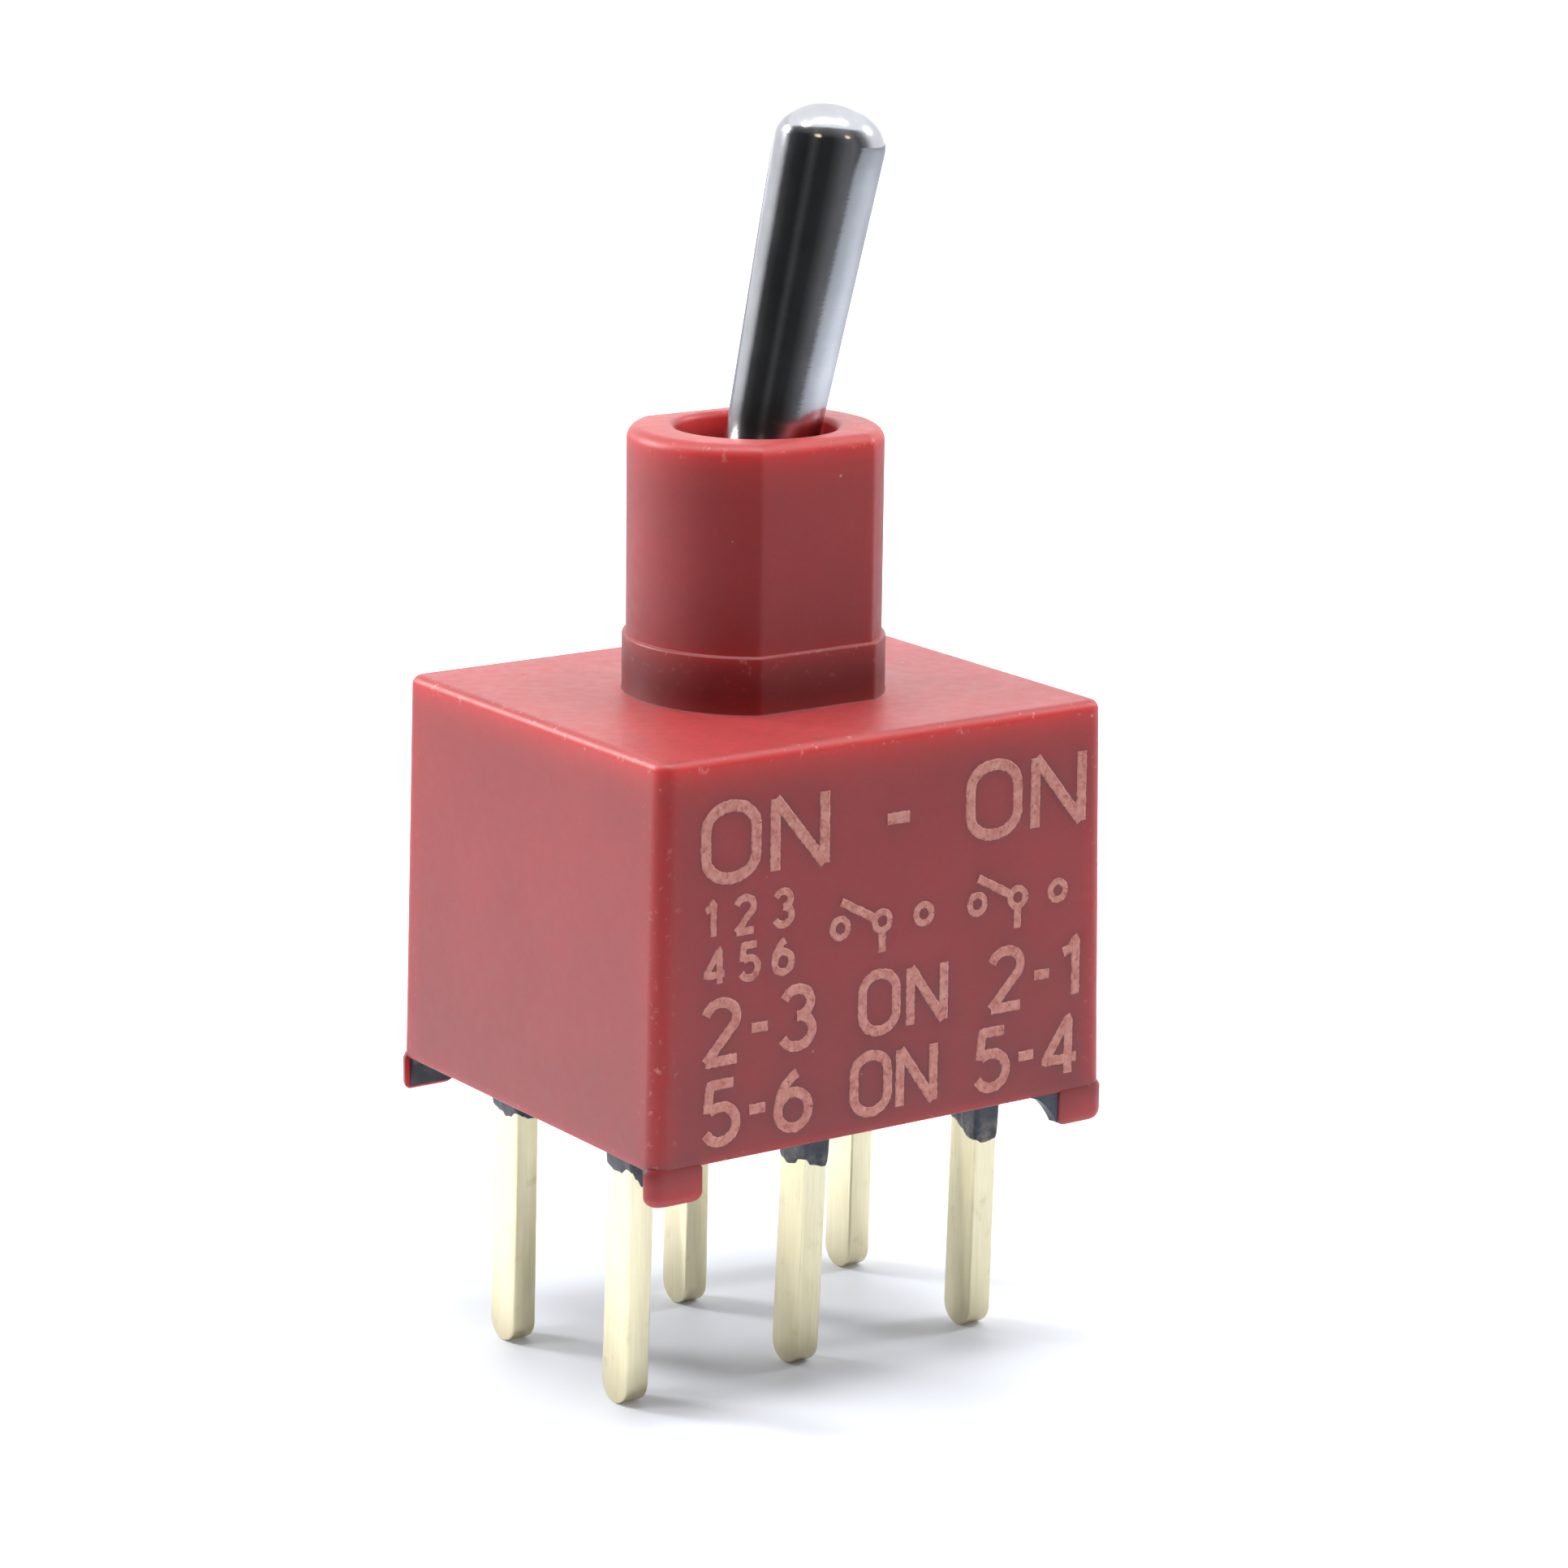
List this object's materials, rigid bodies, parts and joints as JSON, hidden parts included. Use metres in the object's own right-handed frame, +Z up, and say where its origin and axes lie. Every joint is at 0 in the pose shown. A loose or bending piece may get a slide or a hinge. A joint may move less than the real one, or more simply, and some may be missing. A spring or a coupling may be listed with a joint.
{
  "type": "toggle switch",
  "caption": "Sealed sub-miniature toggle switch: red box case with a smooth double-flatted bushing, plated bat lever, stand-off feet and straight board terminals.",
  "frame": {"origin": "middle of the terminal pattern, on the plane of the four foot bottoms, where the board lies", "axes": "+Z up out of the board along the bushing, +X along the marked face and the terminal rows, the way the lever rests; -Y out of the marked face"},
  "size_m": [0.0124, 0.0106, 0.0283],
  "materials": {
    "case_red": "satin, fine moulded grain",
    "lever_chrome": "bright plated",
    "seal_rubber": "matte",
    "actuator_nylon": "matte",
    "base_black": "matte",
    "epoxy_black": "cast, slightly glossy",
    "plunger_nylon": "matte",
    "spring_steel": "drawn wire",
    "rocker_copper": "stamped copper alloy",
    "terminal_gold": "pale gold plate over brass, satin",
    "contact_silver": "silver button"
  },
  "bodies": {
    "housing": {"case": "case_red", "base": "base_black", "epoxy_seal": "epoxy_black", "terminal_centre_front": "terminal_gold", "terminal_left_front": "terminal_gold", "contact_left_front": "contact_silver", "terminal_right_front": "terminal_gold", "contact_right_front": "contact_silver", "terminal_centre_back": "terminal_gold", "terminal_left_back": "terminal_gold", "contact_left_back": "contact_silver", "terminal_right_back": "terminal_gold", "contact_right_back": "contact_silver"},
    "lever": {"toggle_lever": "lever_chrome", "lever_o_ring": "seal_rubber", "actuator": "actuator_nylon", "spring_front": "spring_steel", "spring_back": "spring_steel"},
    "plunger_front": {"plunger_front": "plunger_nylon"},
    "plunger_back": {"plunger_back": "plunger_nylon"},
    "rocker_front": {"rocker_front": "rocker_copper"},
    "rocker_back": {"rocker_back": "rocker_copper"}
  },
  "joints": [
    {"name": "lever_throw", "type": "hinge", "parent": "housing", "child": "lever", "pos_m": [0, 0, 0.01345], "axis": [0, 1, 0], "range_deg": [-25.5, 0]},
    {"name": "plunger_front_slide", "type": "slide", "parent": "lever", "child": "plunger_front", "axis": [0.2207, 0, 0.9753], "range_m": [0, 0.0003], "stiffness_N_per_m": 2, "deforming": ["spring_front"]},
    {"name": "plunger_back_slide", "type": "slide", "parent": "lever", "child": "plunger_back", "axis": [0.2207, 0, 0.9753], "range_m": [0, 0.0003], "stiffness_N_per_m": 2, "deforming": ["spring_back"]},
    {"name": "rocker_front_tip", "type": "hinge", "parent": "housing", "child": "rocker_front", "pos_m": [0, -0.00242, 0.004], "axis": [0, 1, 0], "range_deg": [0, 12]},
    {"name": "rocker_back_tip", "type": "hinge", "parent": "housing", "child": "rocker_back", "pos_m": [0, 0.00242, 0.004], "axis": [0, 1, 0], "range_deg": [0, 12]}
  ],
  "couplings": [
    {"joint": "rocker_front_tip", "follows": "lever_throw", "ratio": -0.4705},
    {"joint": "rocker_back_tip", "follows": "lever_throw", "ratio": -0.4705}
  ]
}
